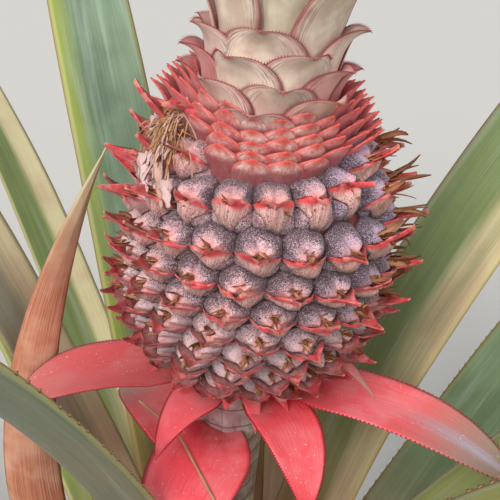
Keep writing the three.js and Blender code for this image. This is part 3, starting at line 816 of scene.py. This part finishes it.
# Pale and crimson patches. These are partly the berries' own mottling and partly painted highlights and
# painted shade.
coat.wash((patch, 0.52, 0.66), "f3dcd8", 0.6).wash((patch, 0.46, 0.34), "a05a66", 0.5)
coat.wash(bloom, "a99fc6", 0.75).wash(ash, "e2c6cc", 0.75)
pink = coat.times((rise, 0.6, 0.0), (rim, 0.8, 0.35))
coat.wash(coat.times(pink, coat.times(plain, 0.6, 0.4)), "f6aaa2")
shadow = coat.times((rim, 0.5, 0.95), (rise, -0.3, 0.3))
coat.wash(coat.times(shadow, coat.times(plain, 0.35, 0.15)), "6a5468")
shade = coat.times((rise, -0.2, 0.5), 0.09, 0.3)
ringed = coat.times((rim, 0.3, 0.9), coat.times(ash, -0.09, 0.2))
dark = coat.sum("ADD", coat.times(ash, -0.1, shade), ringed)
coat.wash((coat.sum("SUBTRACT", dark, speck), -0.03, 0.05), "4a343e")
# Pale frost specks are partly the bloom and partly painted highlights. The dark border round each dome is
# painted shade in the grooves between the berries.
coat.wash((frost_and_highlight, 0.6, 0.68), "e4d4d8").wash((rim, 0.96, 1.0), "5a3236")
coat.emboss(coat.times(patch, 2.0, speck), 0.22)

DOME_RINGS = 13
DOME_ROUND = 36
share, angle = ring_grid(np.linspace(0.05, 1, DOME_RINGS) ** 0.85, DOME_ROUND)
x, y = in_cell(share, np.broadcast_to(angle, (BERRIES, *angle.shape)))
low = on_fruit(x[:, -1:] * 0.9, y[:, -1:] * 0.9, 0 * x[:, -1:] - 3)
rings = np.concatenate([on_fruit(x, y, cushion(x, y)), low], axis=1)
berry_lot = np.random.default_rng(3).uniform(0, 1, BERRIES)
berry_bloom = side_share(berry_turn, *BLOOM_SIDE) * ease_in(berry_height, -20, 20)
# This share turns a berry's skin pale and grey, and darkens the base of its bract as painted shade.
berry_ash_and_shade = ease_in(-berry_height, -8, 18) + 0.7 * side_share(berry_turn, *ASH_SIDE)
berry_ash_and_shade = np.clip(berry_ash_and_shade, 0, 1) * (1 - berry_bloom)
marks = dict(rim=np.broadcast_to(share, x.shape), rise=y / of_berry(berry_size / 2, x))
marks = {mark: np.concatenate([values, values[:, -1:]], axis=1) for mark, values in marks.items()}
marks.update(lot=berry_lot, bloom=berry_bloom, ash=berry_ash_and_shade)
skin("berry_domes", rings, coat, "berry_skin", ["fruit"], **marks)

coat = Finish("berry_groove", 0.8)
coat.paint(coat.noise(300), "5a2c30", "9a4c50")
height, turn = ring_grid(np.linspace(*FLESH_ENDS, 60), 96)
radius = (flesh_radius(height) - FLESH_SUNK) * girth(np.degrees(turn), height)
skin("fruit_flesh", lean(polar(radius, turn, height))[None], coat, "berry_skin")


# Hairs: short, stiff and dark, thick on the sepals towards the border of each berry.
HAIRS = 150  # on a berry
rng = np.random.default_rng(21)
share = rng.uniform(0.35, 0.98, (BERRIES, HAIRS)) ** 0.6
angle = np.radians(90 + rng.triangular(-180, 0, 180, (BERRIES, HAIRS)))
x, y = in_cell(share, angle)
h = cushion(x, y)
feet = on_fruit(x, y, h - 0.1)
ways = on_fruit(x * 1.35, y * 1.35 + 0.3, h + 1.2) - feet + rng.normal(0, 0.5, feet.shape)
hair = Finish("berry_hair", 0.6)
hair.paint(hair.mark("along"), "3a2a30", "6a5456")
lengths = rng.uniform(0.5, 1.1, feet.shape[:2]).ravel()
thorns(feet.reshape(-1, 3), ways.reshape(-1, 3), lengths, 0.13, "berry_hairs", hair, "berry_skin")


# Berry bracts: one to each berry, a broad fleshy scale that wraps its lower half. Its upper margin
# stands off as a red crest, and its middle runs out into a stiff red point.
BRACT_ACROSS = 12
FLARE_SIDE = 190, 30  # where the points are fuller and longer: the turn, and how far round
SHORT_IN_FRONT = 0.45, FRONT, 50  # where they are shorter, by a share
SHORT_AT_LEFT = 0.3, 180, 50
rng = np.random.default_rng(11)
s = np.concatenate([np.linspace(0, 0.5, 8), np.linspace(0.53, 0.66, 4), np.linspace(0.72, 1, 5)])
u, face = both_faces(BRACT_ACROSS)
s, u = (np.broadcast_to(v, (BERRIES, *v.shape)) for v in np.meshgrid(s, u, indexing="ij"))
size = of_berry(berry_size, s)
wide = (border_at(1 + 0 * s, 0 * s) + border_at(-1 + 0 * s, 0 * s)) / 2
flaring = side_share(berry_turn, *FLARE_SIDE) * ease_in(berry_height, 5, 25)
fullness = of_berry(flaring, s)
taper = mix(0.55 + 0.25 * fullness, 0.01, np.clip((s - 0.6) / 0.4, 0, 1) ** (0.65 + 0.5 * fullness))
narrow = mix(1.03 * ease_in(s, -0.4, 0.4), taper, ease_in(s, 0.5, 0.63))
# The lower half lies on the berry, from the hem at its border up to the crest.
x = u * wide * narrow
wave = 0.03 * np.sin(of_berry(rng.uniform(0, 6.28, BERRIES), s) + 5 * u) * size
crest = (-0.04 + 0.06 * u**2) * size + wave
down = np.sqrt(1 - 0.8 * u**2)
hem = -border_at(u * 0.9, -down) * down * 1.08
y = mix(hem, crest, np.clip(s / 0.5, 0, 1) ** 0.8)
stand = 2.1 + 1.7 * of_berry(ease_in(-berry_height, -10, 20), s)
h = cushion(x, y) + 0.75 + stand * ease_in(s, 0.1, 0.55) * (1 - 0.4 * u**2)
# The point leaves the crest on a way of its own, and curls up a little.
shorter = sum(cut * side_share(berry_turn, *side) for cut, *side in (SHORT_IN_FRONT, SHORT_AT_LEFT))
point_length = berry_size * rng.uniform(0.45, 0.85, BERRIES) * (1 - shorter + 0.6 * flaring)
slope = np.radians(rng.uniform(-5, 42, BERRIES) - 10 * side_share(berry_turn, FRONT, 50))
way = away * np.cos(slope)[:, None] + np.sin(slope)[:, None] * [0, 0, 1]
way += berry_side * rng.uniform(-0.3, 0.3, BERRIES)[:, None]
gone = np.clip((s - 0.52) / 0.48, 0, 1) * of_berry(point_length, s)
ahead, aside, aloft = (of_berry((way * v).sum(axis=1), s) for v in (berry_out, berry_side, berry_up))
curl = 0.22 * gone**2 / of_berry(point_length, s)
free = ease_in(s, 0.5, 0.66)
x = x + free * aside * gone
y = mix(y, crest + aloft * gone + curl + 0.25 * np.abs(u) * wide * narrow, free)
h = mix(h, 0.3 * size + 0.5 + stand + ahead * gone, free) + face * 0.22 * (1 - 0.6 * s)

coat = Finish("berry_bract", 0.45, sheen=0.15, soft=0.1)
across, along, lot, ash = coat.marks("across along lot ash")
speck, patch = coat.noise(2900, 2, 0.65), coat.noise(380)
faded = coat.noise(240, 2)
line = coat.grain(9, 1, 1.6, 3)
coat.paint((line, 0.35, 0.7), "c48a8a", "eec2ba")
# The bases of the bracts on the lower, pale berries turn darker red-brown. This is partly their own darker
# colour and partly painted shade.
coat.wash(ash, coat.blend((patch, 0.4, 0.6), "84424a", "b87c80"), 0.65)
spots = coat.times(coat.sum("ABSOLUTE", across), 0.1, coat.times(along, -0.28, 0.46))
coat.wash((coat.sum("SUBTRACT", spots, speck), -0.02, 0.05), "55393e")
red = coat.blend((patch, 0.35, 0.6), "b83c44", "ea4c52")
red = coat.blend(ash, red, coat.blend((patch, 0.35, 0.6), "a0343c", "d24650"))
red = coat.blend((faded, 0.5, 0.62), red, "f09c94", 0.55)
coat.wash((coat.times(line, 0.12, along), 0.42, 0.56), red)
withered = coat.times((lot, 0.6, 0.9), (along, 0.5, 0.8))
coat.wash(withered, "6e4030", 0.8).wash((along, 0.93, 1.0), "e09078").emboss(line, 0.15)
marks = dict(across=u, along=s, lot=berry_lot, ash=berry_ash_and_shade)
skin("berry_bracts", on_fruit(x, y, h), coat, "bract_red", **marks)


# Withered flowers: a tuft of dried petals left in the middle of each berry. They are papery, twisted
# and brown, and longest on the side of the fruit where they were the last to open.
PETALS = 5  # on a berry
LATE_SIDE = 3, 34  # where they are longest: the turn, and how far round
rng = np.random.default_rng(31)
n = BERRIES * PETALS
root = np.repeat(np.arange(BERRIES), PETALS)
late = side_share(berry_turn, *LATE_SIDE) * (berry_height > -10)
withered_low = ease_in(-berry_height, 5, 25)
more = (8.5 * late + 2.5 * withered_low)[root]
length = (rng.uniform(2.2, 5, n) + more * rng.uniform(0.5, 1, n)) * (berry_size / 12)[root]
radius = berry_radius[root]
petals, marks = blades(
    berry_turn[root] + np.degrees(rng.normal(0, 0.7, n) / radius),
    berry_height[root] + rng.normal(1.4, 0.5, n), radius + 3, length + 2,
    rng.uniform(0.9, 1.8, n) * (1 + 1.1 * late + 0.6 * withered_low)[root],
    (rng.uniform(0, 50, n), rng.uniform(-30, 60, n)),
    2.0, (0.3, 0.15), lambda s: 1 - 0.8 * s**3,
    swing=rng.normal(0, 45, n), roll=rng.uniform(-90, 90, n), gutter=0.9, rows=7, across=2,
)
marks["lot"] = rng.uniform(0, 1, n)
coat = Finish("withered_petal", 0.8)
coat.paint(coat.mark("lot"), "8a4a30", "c8946a")
coat.wash((coat.mark("along"), 0.5, 1.0), "70432c")
skin("withered_flowers", lean(petals), coat, "bract_red", **marks)


# Shreds: remains of old bracts that have dried on one shoulder of the fruit. Most have split into tan
# fibres under the collar, some are pale papery films, and one is a stiff strip on the berries below.
FIBRES = 130
FILMS = 7
SHREDS = FIBRES + FILMS + 1
SHOULDER = [28, 40, 50, 58], [43, 38.6, 33.5, 28.5]  # heights, and radii of what the shreds lie on


def shoulder(turn, height):
    """A place on the tops of the berries, at a turn and a height."""
    return polar(np.interp(height, *SHOULDER), np.radians(turn), height)


def of_shreds(draw, fibres, films, strip):
    """A number for each shred: drawn for the fibres and the films, and given for the strip."""
    return np.concatenate([draw(*fibres, FIBRES), draw(*films, FILMS), [strip]])


rng = np.random.default_rng(41)
turn = of_shreds(rng.normal, (205, 8), (208, 13), 214)
height = of_shreds(rng.uniform, (44, 56), (36, 50), 40)
drift = of_shreds(rng.normal, (2, 10), (4, 8), 12)
drop = of_shreds(rng.uniform, (3, 10), (6, 10), 11)
width = of_shreds(rng.uniform, (0.25, 0.7), (3, 5.5), 3.2)
fine = width < 1
# Each one is laid flat along the berries, from its start to where it has drifted and dropped.
start = shoulder(turn, height)
way = shoulder(turn + drift, height - drop) - start
length = np.linalg.norm(way, axis=1)
heading, climb = np.arctan2(way[:, 1], way[:, 0]), np.arcsin(way[:, 2] / length)
flat = np.stack([np.sin(heading), -np.cos(heading), 0 * heading], -1)
outwards = unit(start)
roll = np.arctan2((outwards * flat).sum(-1), (outwards * np.cross(flat, way / length[:, None])).sum(-1))
roll = np.degrees(roll) + rng.normal(0, 22, SHREDS) * (width < 3)
bow = rng.uniform(2, 24, SHREDS) * fine + 8
shreds, marks = blades(
    np.degrees(heading), 0, 0, length, width, (np.degrees(climb) + bow, np.degrees(climb) - bow),
    4.0, (0.3, 0.15), lambda s: 1 - 0.7 * s**2 + 0.12 * np.sin(19 * s + 40 * width[:, None]),
    swing=rng.normal(0, 30, SHREDS) * fine, roll=roll, gutter=0.4, rows=17, across=4,
    swell=lambda s, u: 0.35 * np.sin(8 * s + 3 * u) * s,
)
lot = rng.uniform(0, 0.8, SHREDS)
lot[FIBRES : FIBRES + FILMS] = 1
marks["lot"] = lot
coat = Finish("dried_shred", 0.8)
fibre = coat.grain(4, 1, 3, 3, lots=9)
coat.paint((coat.mark("lot"), 0.3, 0.9), "c08c5a", "dbbcbc")
coat.wash((fibre, 0.5, 0.7), "a87658").emboss(fibre, 0.15)
skin("dried_shreds", lean(shreds + start[:, None, None]), coat, "leaf_dry", **marks)


# Straw: a thin dead stalk of grass that has fallen across the bracts. It is round, pale and bent where
# it rests on the big one.
STRAW_BEND = [(-36, -17, -60), (-21, -19.5, -72), (-13, -32, -75.5), (-5.5, -45, -77.5), (1, -54, -86)]
STRAW_RADIUS = 0.6
coat = Finish("straw", 0.7)
coat.paint(coat.noise(200), "a87c5c", "dcb892")
t, turn = ring_grid(np.linspace(0, len(STRAW_BEND) - 1, 50), 6)
middle = [np.interp(t, np.arange(len(STRAW_BEND)), axis) for axis in np.array(STRAW_BEND, float).T]
rings = np.stack(middle, -1) + polar(STRAW_RADIUS, turn, 0)
skin("straw_stalk", lean(rings)[None], coat, "leaf_dry")


# Crown: a collar of small scales, then broad tiles, then leaves that flare out, all on one spiral
# round a fleshy core. Their red margins are finely toothed and haired.
CROWN_TURN = 137.1
CROWN_START = 293.0
CROWN_TILT = 2.25, 88.9  # the spiral stands higher by this much on the side that faces this turn
FIRST_SCALE = -116  # in the order of the spiral
FIRST_TILE = 4
FIRST_LEAF = 27
LAST_LEAF = 46
ALL_PALE = 44  # the first one without any red
FRAME_LEAVES = 12  # the lowest, which the frame has as nodes
SCALES_END = 57.4  # the height of the last one
SCALE_STEP = 0.16  # upwards from one scale to the next
TILES_START = 56
TILE_STEP = 0.65  # upwards from one tile to the next, at first
TILE_GROWTH = 0.011  # the share by which each further one stands higher
LONG_AT_LEFT = 1, 195, 45  # where the scales are longer: a share of the flare, the turn, how far round
LONG_AT_RIGHT = 0.6, 350, 40
SCALE_HIDES = 7.5  # a scale is left out if it is rooted further than this below the berries' tops
CROWN_ENDS = 40.3, 112
CROWN_OUTLINE = [39, 58, 68, 112], [31, 22, 21.5, 6]  # heights, radii
CROWN_THICK = 1.6, 0.7  # foot, tip


def crown_radius(z):
    """Radius of the core: a cone under the collar, a cylinder under the tiles, then a taper."""
    return np.interp(z, *CROWN_OUTLINE)


def crown_spots(order):
    """Turns and heights on the spiral. Each is a turn on from the last, and the steps grow upwards."""
    turn = CROWN_START + order * CROWN_TURN
    height = TILES_START + TILE_STEP * order * (1 + TILE_GROWTH * np.maximum(0, order))
    height = np.where(order < FIRST_TILE, SCALES_END + SCALE_STEP * (order - FIRST_TILE), height)
    tilt, towards = CROWN_TILT
    return turn, height + tilt * np.cos(np.radians(turn - towards))


def shield(s, turn):
    """Widest at a fifth of the length, then rounded margins that meet at a short point."""
    return pointed(s, 0.2, 1.9)


def flame(s, turn):
    """Widest at a fifth of the length, then nearly straight margins to a sharp point, or rounder ones
    in front."""
    return pointed(s, 0.2, 1.35 + 0.75 * side_share(turn, FRONT, 55)[:, None])


def lance(s, turn):
    """Widest at a quarter of the length and drawn out to a long point."""
    opening = 0.72 + 0.28 * np.sin(np.pi * np.minimum(0.5, s / 0.56))
    return np.maximum(0.03, opening - 0.98 * s**2.6)


coat = Finish("crown_leaf", 0.5, sheen=0.2, soft=0.15)
across, along, pale, front = coat.marks("across along pale front")
fan = coat.grain(16, 1.5, 2.2, 4)
cloud, mottle = coat.noise(120), coat.noise(700, 3, 0.65)
coat.paint((cloud, 0.35, 0.65), "da908c", "fad8d0")
coat.wash((mottle, 0.5, 0.64), "ffe9e0", 0.65).wash((mottle, 0.47, 0.34), "c4504e", 0.6)
coat.wash((fan, 0.48, 0.6), "a84c50", 0.4).wash(coat.times(front, -0.85, 0.85), "e2484c")
# Each scale, tile and leaf darkens to crimson towards its foot, where the next ones overlap it. This is
# painted shade in the crevices between them; the core, which is all foot, takes it all over.
coat.wash((along, 0.72, 0.5), "8c303c", 0.85)
coat.wash((pale, 0.1, 0.6), coat.blend((cloud, 0.35, 0.65), "cdb3a6", "e8d8c8"))
flank = coat.times((front, 0.5, 0.1), (pale, 0.72, 0.5))
coat.wash(flank, "cf6c74", 0.75)
coat.wash((pale, 0.72, 1.0), coat.blend((along, 0.1, 0.8), "b9c2a0", "9aa690"))
edge = coat.sum("ABSOLUTE", across)
line = coat.times((fan, 0.46, 0.62), (edge, 0.35, 0.9))
coat.wash(line, "70484a", 0.85)
red_rim = coat.sum("MAXIMUM", (edge, 0.78, 1.0), (along, 0.84, 1.0))
red_low = coat.sum("MAXIMUM", (edge, 0.7, 1.0), (along, 0.72, 0.94))
red_low = coat.times(red_low, (pale, 0.5, 0.1))
red = coat.sum("MAXIMUM", red_low, coat.times(red_rim, 0.8))
coat.wash(red, coat.blend((pale, 0.0, 0.5), "f05c52", "9c4a48")).emboss(fan, 0.2)
crown_tooth = Finish("crown_tooth", 0.5)
crown_tooth.paint(crown_tooth.mark("along"), "c05050", "8a2e34")


def crown_run(first, end, outline, length, width, foot, tip, ease, gutter, seed, sunk, rows, hug=0, flare=0):
    """One run of the crown's spiral, from the first up to the end. Each pair of values is that of its
    first leaf and its last. They are rooted as far as sunk below the middle of what shows of them. In
    front they stand steeper by hug, and at the sides they are longer by a share, flare. Those that the
    berries would cover are left out."""
    order = np.arange(first, end)
    turn, height = crown_spots(order)
    rng = np.random.default_rng(seed)
    f = np.linspace(0, 1, end - first)
    height = height - mix(*sunk, f)
    shown = (height > berry_top(turn) - SCALE_HIDES) | (order >= FIRST_TILE)
    turn, height, f, order = turn[shown], height[shown], f[shown], order[shown]
    n = len(order)
    front = side_share(turn, FRONT, 50)
    longer = sum(share * side_share(turn, *side) for share, *side in (LONG_AT_LEFT, LONG_AT_RIGHT))
    size = rng.uniform(0.92, 1.08, n) + flare * longer
    radius = crown_radius(height) - 1.5
    rings, marks = blades(
        turn, height, radius, mix(*length, f) * size, mix(*width, f) * rng.uniform(0.95, 1.05, n),
        (mix(*foot, f), mix(*tip, f) + rng.uniform(-8, 8, n) + hug * front), radius + 2,
        CROWN_THICK, lambda s: outline(s, turn),
        swing=rng.uniform(-6, 6, n), ease=ease, gutter=gutter, rows=rows,
    )
    pale = np.interp(order, [FIRST_SCALE, FIRST_TILE - 1, FIRST_TILE, ALL_PALE], [0, 0.2, 0.35, 1])
    marks.update(pale=pale, lot=order * 1.37, front=front)
    return lean(rings), marks


height, turn = ring_grid(np.linspace(*CROWN_ENDS, 60), 64)
rings = lean(polar(crown_radius(height) - 0.5, turn, height))[None]
marks = dict(across=0, along=0, lot=0, pale=0.3, front=0)
skin("crown_core", rings, coat, "crown_scale", ["crown_heart"], **marks)

scales, marks = crown_run(
    FIRST_SCALE, FIRST_TILE, flame, length=(12, 10), width=(16, 16), foot=(64, 83), tip=(38, 38),
    ease=1.5, gutter=0.6, seed=5, sunk=(1, 4), rows=19, hug=22, flare=0.7,
)
skin("collar_scales", scales, coat, "crown_scale", ["crown_base"], **marks)
thorns(*tooth_spots(scales, slice(2, None, 2)), 0.8, 0.3, "collar_teeth", crown_tooth, "crown_scale")

tiles, marks = crown_run(
    FIRST_TILE, FIRST_LEAF, shield, length=(14.5, 18), width=(27, 29), foot=(84, 86), tip=(0, 15),
    ease=1.9, gutter=0.65, seed=6, sunk=(8, 8), rows=33,
)
skin("crown_tiles", tiles, coat, "crown_leaf_pale", **marks)
thorns(*tooth_spots(tiles, slice(2, None)), 1.4, 0.4, "tile_teeth", crown_tooth, "crown_leaf_pale")

leaves, marks = crown_run(
    FIRST_LEAF, LAST_LEAF + 1, lance, length=(30, 88), width=(23, 19), foot=(82, 86), tip=(15, 52),
    ease=1.3, gutter=0.4, seed=8, sunk=(7, 2), rows=61,
)
skin_each("crown_blade", leaves, coat, "crown_leaf_pale", numbered("crown_leaf", FRAME_LEAVES), marks)
thorns(*tooth_spots(leaves, slice(2, None)), 0.9, 0.35, "crown_leaf_teeth", crown_tooth, "crown_leaf_pale")
